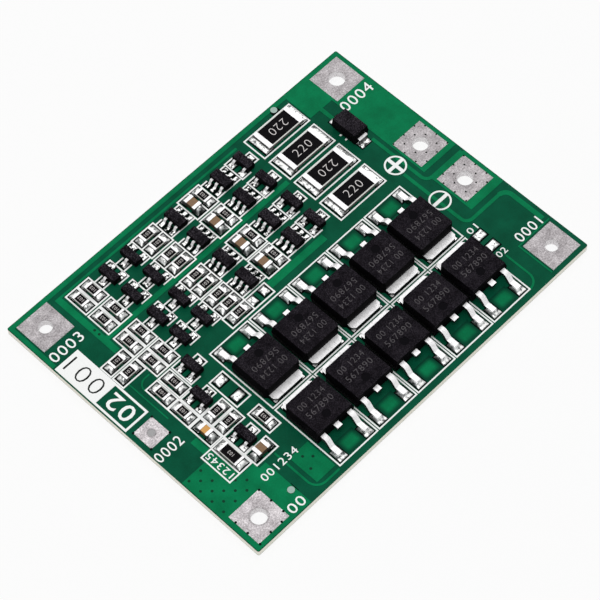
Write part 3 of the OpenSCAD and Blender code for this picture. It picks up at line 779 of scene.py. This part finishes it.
def bare_pad_solder(pads):
    """Low domes of levelled solder on pads that carry no part, and dull faces on round targets."""
    shape = bmesh.new()
    targets = bmesh.new()
    dice = random.Random(3)
    leadframes = [f"mosfet_leadframe_{index}" for index in MOSFETS]
    carried = [solid for node in ["chip_end_caps"] + SMALL_LEADS + leadframes
               for solid in solids_of(node)]
    for pad in pads:
        is_even = abs(pad.size.x - pad.size.y) < EQUAL_SIDES * MM
        if is_even and pad.size.x < TARGET_WIDTH * MM:
            top = Vector((pad.centre.x, pad.centre.y, pad.high.z))
            disc(targets, top, pad.size.x / 2, TARGET_THICKNESS * MM, sides=32)
        elif not any(pad.overlaps(solid) for solid in carried):
            lump(shape, pad, BARE_PAD_HEIGHT * MM, dice)
    add_piece("bare_pad_solder", shape, SLOT_SURFACES["tinned_copper"])
    add_piece("target_faces", targets, TARGET_TIN, smooth=False)


# ---------------------------------------------------------------- print and marks

# Height of the built-in font's digits at size 1, and the spacing between them
DIGIT_HEIGHT = 0.72
DIGIT_SPACING = 1.12
# Height of the board's print over its mask
LEGEND_LIFT = 0.035
WHITE_NUMBERS = [
    # words, centre x and y, height, width, turn, weight
    ("0004", 26.4, 15.2, 1.65, 5.4, 0, 0.005),
    ("0003", -26.6, 15.05, 1.55, 5.2, 0, 0.005),
    ("0002", -27.75, -4.7, 1.5, 4.2, 0, 0.005),
    ("0001", 26.5, -15.35, 1.5, 4.3, 0, 0.005),
    ("00", -22.3, -21.35, 1.4, 2.5, 0, 0.005),
    ("001234", -19.8, -15.95, 1.1, 5.9, 0, 0.005),
    ("01", 21.55, -10.1, 0.95, 1.6, 0, 0.005),
    ("02", 21.55, -15.2, 0.95, 1.6, 0, 0.005),
    ("12345", -25.0, -10.85, 1.0, 4.3, 90, 0.005),
    ("02", -27.85, 3.8, 2.4, 4.1, 90, 0.03),
]
LABEL_NUMBER = ("001", -27.85, 10.25, 2.4, 5.8, 90, -0.06)
# Numbers on parts: words, height, width, weight
BALANCE_NUMBER = ("220", 1.25, 2.9, -0.03)
CHIP_NUMBER = ("103", 0.5, 0.86, 0.006)
# Overcoats longer than this belong to the balance resistors
LONG_COAT = 4.0
# Lines of a power transistor's mark: words and how far they stand from the body's middle
# towards its tab; their height, width, weight and thickness
MARK_LINES = (("00 1234", 1.25), ("567890", -0.25))
MARK_HEIGHT = 0.88
MARK_WIDTH = 4.3
MARK_WEIGHT = -0.01
MARK_LIFT = 0.004
# The recess in its top: how far it is from the middle across and towards the legs, its depth,
# and the radius and thickness of its floor
EJECTOR_PLACE = (0.15, 1.5)
EJECTOR_DEPTH = 0.06
EJECTOR_RADIUS = 0.57
EJECTOR_FLOOR = 0.004


def lay_text(words, centre, height_mm, width_mm, turn, weight, lift_mm=0.01):
    """Mesh of a line of plain digits, lift_mm thick, that lies flat with its middle on a point."""
    curve = bpy.data.curves.new("digits", "FONT")
    curve.body = words
    curve.size = height_mm * MM / DIGIT_HEIGHT
    curve.align_x = "CENTER"
    curve.align_y = "CENTER"
    curve.space_character = DIGIT_SPACING
    curve.offset = weight * MM
    curve.extrude = lift_mm * MM / 2
    curve.resolution_u = 3
    holder = bpy.data.objects.new("digits", curve)
    bpy.context.scene.collection.objects.link(holder)
    bpy.context.view_layer.update()
    mesh = bpy.data.meshes.new_from_object(holder)
    bpy.data.objects.remove(holder)
    bpy.data.curves.remove(curve)
    raw = box_around([vertex.co for vertex in mesh.vertices])
    mesh.transform(Matrix.Translation(-raw.centre))
    stretch = Matrix.Diagonal((width_mm * MM / raw.size.x, height_mm * MM / raw.size.y, 1, 1))
    place = Matrix.Translation(centre + Vector((0, 0, lift_mm * MM / 2)))
    mesh.transform(place @ Matrix.Rotation(math.radians(turn), 4, "Z") @ stretch)
    return mesh


def lay_number(row, top_z):
    """Mesh of one number of the legend, lying at a height."""
    words, x, y, height, width, turn, weight = row
    return lay_text(words, Vector((x * MM, y * MM, top_z)), height, width, turn, weight)


def add_text(name, meshes, surface):
    """Joins lines of digits to one piece."""
    shape = bmesh.new()
    for mesh in meshes:
        shape.from_mesh(mesh)
        bpy.data.meshes.remove(mesh)
    add_piece(name, shape, surface, smooth=False)


def legend_numbers():
    """Plain numbers where the board is marked beside its terminals and in its label box."""
    top_z = node_box("circuit_board").high.z + LEGEND_LIFT * MM
    white = [lay_number(row, top_z) for row in WHITE_NUMBERS]
    add_text("legend_numbers", white, SLOT_SURFACES["legend_ink"])
    dark = lay_number(LABEL_NUMBER, node_box("silkscreen").high.z)
    add_text("label_numbers", [dark], LABEL_MARK)


def resistor_marks():
    """Plain value numbers on the balance resistors and the small chip resistors."""
    large = []
    small = []
    for coat in solids_of("resistor_coats"):
        top = Vector((coat.centre.x, coat.centre.y, coat.high.z))
        if coat.size.x > LONG_COAT * MM:
            large.append(top)
        else:
            words, height, width, weight = CHIP_NUMBER
            turn = 0 if coat.size.x > coat.size.y else 90
            small.append(lay_text(words, top, height, width, turn, weight))
    large.sort(key=lambda top: -top.y)
    words, height, width, weight = BALANCE_NUMBER
    meshes = [
        lay_text(words, top, height, width, 180 if row % 2 == 0 else 0, weight)
        for row, top in enumerate(large)
    ]
    add_text("balance_resistor_numbers", meshes, RESISTOR_MARK)
    add_text("chip_resistor_numbers", small, CHIP_MARK)


def transistor_marks():
    """Two faint laser-marked lines of plain numbers on each power transistor, and the smooth
    floor of its ejector recess, darkened as painted reflection."""
    meshes = []
    recesses = bmesh.new()
    for index in MOSFETS:
        body = node_box(f"power_mosfet_{index}")
        top = Vector((body.centre.x, body.centre.y, body.high.z))
        # The first row's legs point to +Y, the second row's to -Y
        legs = 1 if index <= MOSFETS_IN_ROW else -1
        turn = 180 if legs > 0 else 0
        floor = Vector((legs * EJECTOR_PLACE[0], legs * EJECTOR_PLACE[1], -EJECTOR_DEPTH)) * MM
        disc(recesses, top + floor, EJECTOR_RADIUS * MM, EJECTOR_FLOOR * MM, sides=32)
        for words, step in MARK_LINES:
            point = top - Vector((0, legs * step * MM, 0))
            meshes.append(lay_text(words, point, MARK_HEIGHT, MARK_WIDTH, turn, MARK_WEIGHT, MARK_LIFT))
    add_text("power_transistor_marks", meshes, LASER_MARK)
    add_piece("ejector_floors", recesses, EJECTOR_PAINTED_REFLECTION, smooth=False)


# ---------------------------------------------------------------- vias and holes

# Radii of the dots and their thickness
FINE_VIA_RADIUS = 0.13
COARSE_VIA_RADIUS = 0.17
FILLED_VIA_RADIUS = 0.19
VIA_THICKNESS = 0.006
# Vias of the pack terminals: how far the lattice starts inside the land's corner, and the
# radius round the wire hole that stays free of them
PACK_VIA_INSET = 0.12
PACK_VIA_FREE = 1.55
# Vias of the negative tap: heights over the land's lower edge on its right side, how much
# lower they are on its left, places along its lower edge, and how far they stand inside the
# left, lower and right edges
TAP_VIA_HEIGHTS = (0.95, 3.05, 5.1)
TAP_VIA_DROP = 1.05
TAP_VIA_PLACES = (2.1, 4.0)
TAP_VIA_INSET = 0.1
TAP_VIA_RIGHT_INSET = 0.05
# Filled vias: first X and Y, columns and rows of the lattice beside the negative tap, the
# lower left corner of its part that stays free, and the ones that stand alone
POUR_VIAS = (-29.1, -15.65, 6, 7)
POUR_CORNER = (-26.5, -13.2)
LOOSE_VIAS = [(-17.1, -17.3), (-16.2, -18.2), (-17.6, -19.2), (-22.45, 14.25), (-22.45, 13.4)]
# A pad narrower than this is small. The gaps between pads and the mask, and the thickness of
# the near-black sheet of painted shade in them; on small pads the gap is wide enough for the
# painted shade to join between the leads
SMALL_PAD = 1.35
SMALL_PAD_PAINTED_SHADE_GAP = 0.2
LARGE_PAD_GAP = 0.13
OPENING_THICKNESS = 0.004
# The lips of tin round the wire holes, and the ring and the sunk face of the filled tap
LIP_WIDTH = 0.22
LIP_HEIGHT = 0.012
TAP_RING = (0.5, 0.66)
TAP_RING_HEIGHT = 0.02
TAP_FACE_RADIUS = 0.48
TAP_FACE_DEPTH = 0.02
TAP_FACE_THICKNESS = 0.025


def staggered(x0, y0, columns, rows, parity):
    """Points of a 1 mm lattice, every second one taken."""
    return [(x0 + i, y0 + j) for i in range(columns) for j in range(rows) if (i + j) % 2 == parity]


def pack_land_vias():
    """Open vias of the two pack terminals: x, y and radius."""
    dots = []
    for node, parity in (("terminal_pack_plus", 1), ("terminal_pack_minus", 0)):
        land = node_box(node)
        x0 = land.low.x / MM + PACK_VIA_INSET
        y0 = land.low.y / MM + PACK_VIA_INSET
        for x, y in staggered(x0, y0, columns=6, rows=6, parity=parity):
            from_hole = math.hypot(x - land.centre.x / MM, y - land.centre.y / MM)
            if from_hole > PACK_VIA_FREE:
                dots.append((x, y, FINE_VIA_RADIUS))
    return dots


def tap_vias():
    """Open vias on the edges of the second cell's tap and of the negative tap."""
    second = node_box("terminal_cell_2")
    dots = [(x / MM, y / MM, COARSE_VIA_RADIUS)
            for x in (second.low.x, second.high.x) for y in (second.low.y, second.high.y)]
    negative = node_box("terminal_cell_0")
    left = negative.low.x / MM
    right = negative.high.x / MM
    bottom = negative.low.y / MM
    places = []
    for height in TAP_VIA_HEIGHTS:
        places.append((left + TAP_VIA_INSET, bottom + height - TAP_VIA_DROP))
        places.append((right - TAP_VIA_RIGHT_INSET, bottom + height))
    for place in TAP_VIA_PLACES:
        places.append((left + place, bottom + TAP_VIA_INSET))
    return dots + [(x, y, COARSE_VIA_RADIUS) for x, y in places]


def pour_vias():
    """Filled vias in the copper pours."""
    in_lattice = [(x, y) for x, y in staggered(*POUR_VIAS, parity=0)
                  if x < POUR_CORNER[0] or y < POUR_CORNER[1]]
    return [(x, y, FILLED_VIA_RADIUS) for x, y in in_lattice + LOOSE_VIAS]


def vias():
    """Plated through-holes: open ones in the lands as dark dots of painted shade, filled ones in the
    pours.
    """
    land_top = node_box("terminal_pack_plus").high.z
    track_top = node_box("copper_tracks").high.z
    for name, dots, top, surface, slot in (
        ("via_holes_painted_shade", pack_land_vias() + tap_vias(), land_top, VIA_HOLE_PAINTED_SHADE, "terminal_tin"),
        ("filled_vias", pour_vias(), track_top, FILLED_VIA, "masked_copper"),
    ):
        shape = bmesh.new()
        for x, y, radius in dots:
            disc(shape, Vector((x * MM, y * MM, top)), radius * MM, VIA_THICKNESS * MM, sides=16)
        add_piece(name, shape, surface, smooth=False)


def mask_openings_painted_shade(pads):
    """A near-black sheet in the gap between each pad and the solder mask. The clearance is real; its
    darkness is painted shade round the pads and between the leads.
    """
    shape = bmesh.new()
    board_top = node_box("circuit_board").high.z
    for pad in pads:
        is_small = min(pad.size.x, pad.size.y) < SMALL_PAD * MM
        gap = (SMALL_PAD_PAINTED_SHADE_GAP if is_small else LARGE_PAD_GAP) * MM
        size = Vector((pad.size.x + 2 * gap, pad.size.y + 2 * gap, OPENING_THICKNESS * MM))
        centre = Vector((pad.centre.x, pad.centre.y, board_top + size.z / 2))
        place = Matrix.Translation(centre) @ Matrix.Diagonal((size.x, size.y, size.z, 1))
        bmesh.ops.create_cube(shape, size=1.0, matrix=place)
    add_piece("mask_openings_painted_shade", shape, MASK_OPENING_PAINTED_SHADE, smooth=False)


def hole_rims():
    """A slightly raised lip of tin round each wire hole, and the dull face of the filled tap."""
    shape = bmesh.new()
    top = node_box("terminal_pack_plus").high.z
    for mount in RECORD["mounts"]:
        if mount["kind"] != "bore":
            continue
        x, y, _ = mount["pos_m"]
        radius = mount["dims"]["r_mm"] * MM
        collar(shape, Vector((x, y, top)), radius, radius + LIP_WIDTH * MM, LIP_HEIGHT * MM, sides=48)
    filled = node_box("terminal_cell_2").centre
    inner, outer = TAP_RING
    collar(shape, Vector((filled.x, filled.y, top)), inner * MM, outer * MM, TAP_RING_HEIGHT * MM,
           sides=48)
    dull = bmesh.new()
    floor = Vector((filled.x, filled.y, top - TAP_FACE_DEPTH * MM))
    disc(dull, floor, TAP_FACE_RADIUS * MM, TAP_FACE_THICKNESS * MM, sides=32)
    add_piece("filled_tap_face", dull, DULL_TIN, smooth=False)
    add_piece("wire_hole_rims", shape, SLOT_SURFACES["terminal_tin"])


# ---------------------------------------------------------------- stage, light and camera

# The floor's side in metres, its distance under the board, its colour, and the share of
# white in it where a background shows
FLOOR_SIZE = 4.0
FLOOR_GAP = 0.02
FLOOR_PAPER = (0.92, 0.92, 0.92, 1)
FLOOR_GLOW = 0.8
# Strength of the white world as light, and as the background that rays show
WORLD_LIGHT = 0.55
WORLD_SEEN = 1.0
LAMPS = [
    # name, place, diameter (metres), power (watts)
    ("key", (-0.10, -0.04, 0.42), 0.30, 0.58),
    ("fill", (0.22, 0.16, 0.34), 0.30, 0.3),
]
# The camera's place and the point it looks at, its lens (millimetres) and its roll (degrees)
CAMERA_PLACE = (-114.256, -121.361, 276.043)
CAMERA_AIM = (-1.350, -1.438, 1.0)
CAMERA_LENS = 151.37
CAMERA_ROLL = -2.7232


def is_seen_directly(tree):
    """1 for rays that show a background: camera, glossy and transmission rays."""
    path = tree.nodes.new("ShaderNodeLightPath").outputs
    seen_or_mirrored = math_node(tree, "MAXIMUM", path["Is Camera Ray"], path["Is Glossy Ray"])
    return math_node(tree, "MAXIMUM", seen_or_mirrored, path["Is Transmission Ray"])


def white_floor():
    """A pale paper floor that keeps the board's shadow and shows nearly white as a background."""
    bpy.ops.mesh.primitive_plane_add(size=FLOOR_SIZE, location=(0, 0, -FLOOR_GAP * MM))
    floor = bpy.context.object
    floor.name = "floor"
    material = bpy.data.materials.new("floor_paper")
    material.use_nodes = True
    tree = material.node_tree
    tree.nodes.clear()
    paper = tree.nodes.new("ShaderNodeBsdfDiffuse")
    paper.inputs["Color"].default_value = FLOOR_PAPER
    glow = tree.nodes.new("ShaderNodeEmission")
    glow.inputs["Color"].default_value = WHITE
    mix = tree.nodes.new("ShaderNodeMixShader")
    share = math_node(tree, "MULTIPLY", is_seen_directly(tree), FLOOR_GLOW)
    for socket, output in zip(mix.inputs, (share, paper.outputs[0], glow.outputs[0])):
        tree.links.new(output, socket)
    surface = tree.nodes.new("ShaderNodeOutputMaterial").inputs["Surface"]
    tree.links.new(mix.outputs[0], surface)
    floor.data.materials.append(material)


def white_world():
    """A white surrounding that is softer as a light than as a background."""
    world = bpy.data.worlds.new("studio")
    bpy.context.scene.world = world
    world.use_nodes = True
    tree = world.node_tree
    background = tree.nodes["Background"]
    background.inputs["Color"].default_value = WHITE
    level = tree.nodes.new("ShaderNodeMapRange")
    level.inputs["To Min"].default_value = WORLD_LIGHT
    level.inputs["To Max"].default_value = WORLD_SEEN
    tree.links.new(is_seen_directly(tree), level.inputs["Value"])
    tree.links.new(level.outputs["Result"], background.inputs["Strength"])


def lamp(name, place, size, power):
    """A round soft light that shines at the board's middle."""
    data = bpy.data.lights.new(name, "AREA")
    data.shape = "DISK"
    data.size = size
    data.energy = power
    light = bpy.data.objects.new(name, data)
    light.location = place
    light.rotation_euler = (-Vector(place)).to_track_quat("-Z", "Y").to_euler()
    bpy.context.scene.collection.objects.link(light)


def photo_camera():
    """A long lens from above one corner, where it sees the board as a tilted diamond."""
    data = bpy.data.cameras.new("camera")
    data.sensor_width = 36.0
    data.lens = CAMERA_LENS
    camera = bpy.data.objects.new("camera", data)
    place = Vector(CAMERA_PLACE) * MM
    aim = Vector(CAMERA_AIM) * MM
    turn = (aim - place).to_track_quat("-Z", "Y").to_matrix().to_4x4()
    roll = Matrix.Rotation(math.radians(CAMERA_ROLL), 4, "Z")
    camera.matrix_world = Matrix.Translation(place) @ turn @ roll
    bpy.context.scene.collection.objects.link(camera)
    bpy.context.scene.camera = camera


# ---------------------------------------------------------------- build

dress_cad_nodes()
for start, width_mm in SOFT_EDGES:
    soften_edges(start, width_mm)

PADS = solids_of("solder_pads")
chip_fillets(PADS)
lead_solder(PADS)
leg_solder(PADS)
bare_pad_solder(PADS)
legend_numbers()
resistor_marks()
transistor_marks()
vias()
mask_openings_painted_shade(PADS)
hole_rims()

white_floor()
white_world()
for name, place, size, power in LAMPS:
    lamp(name, place, size, power)
photo_camera()

bpy.context.scene.view_settings.view_transform = "Standard"
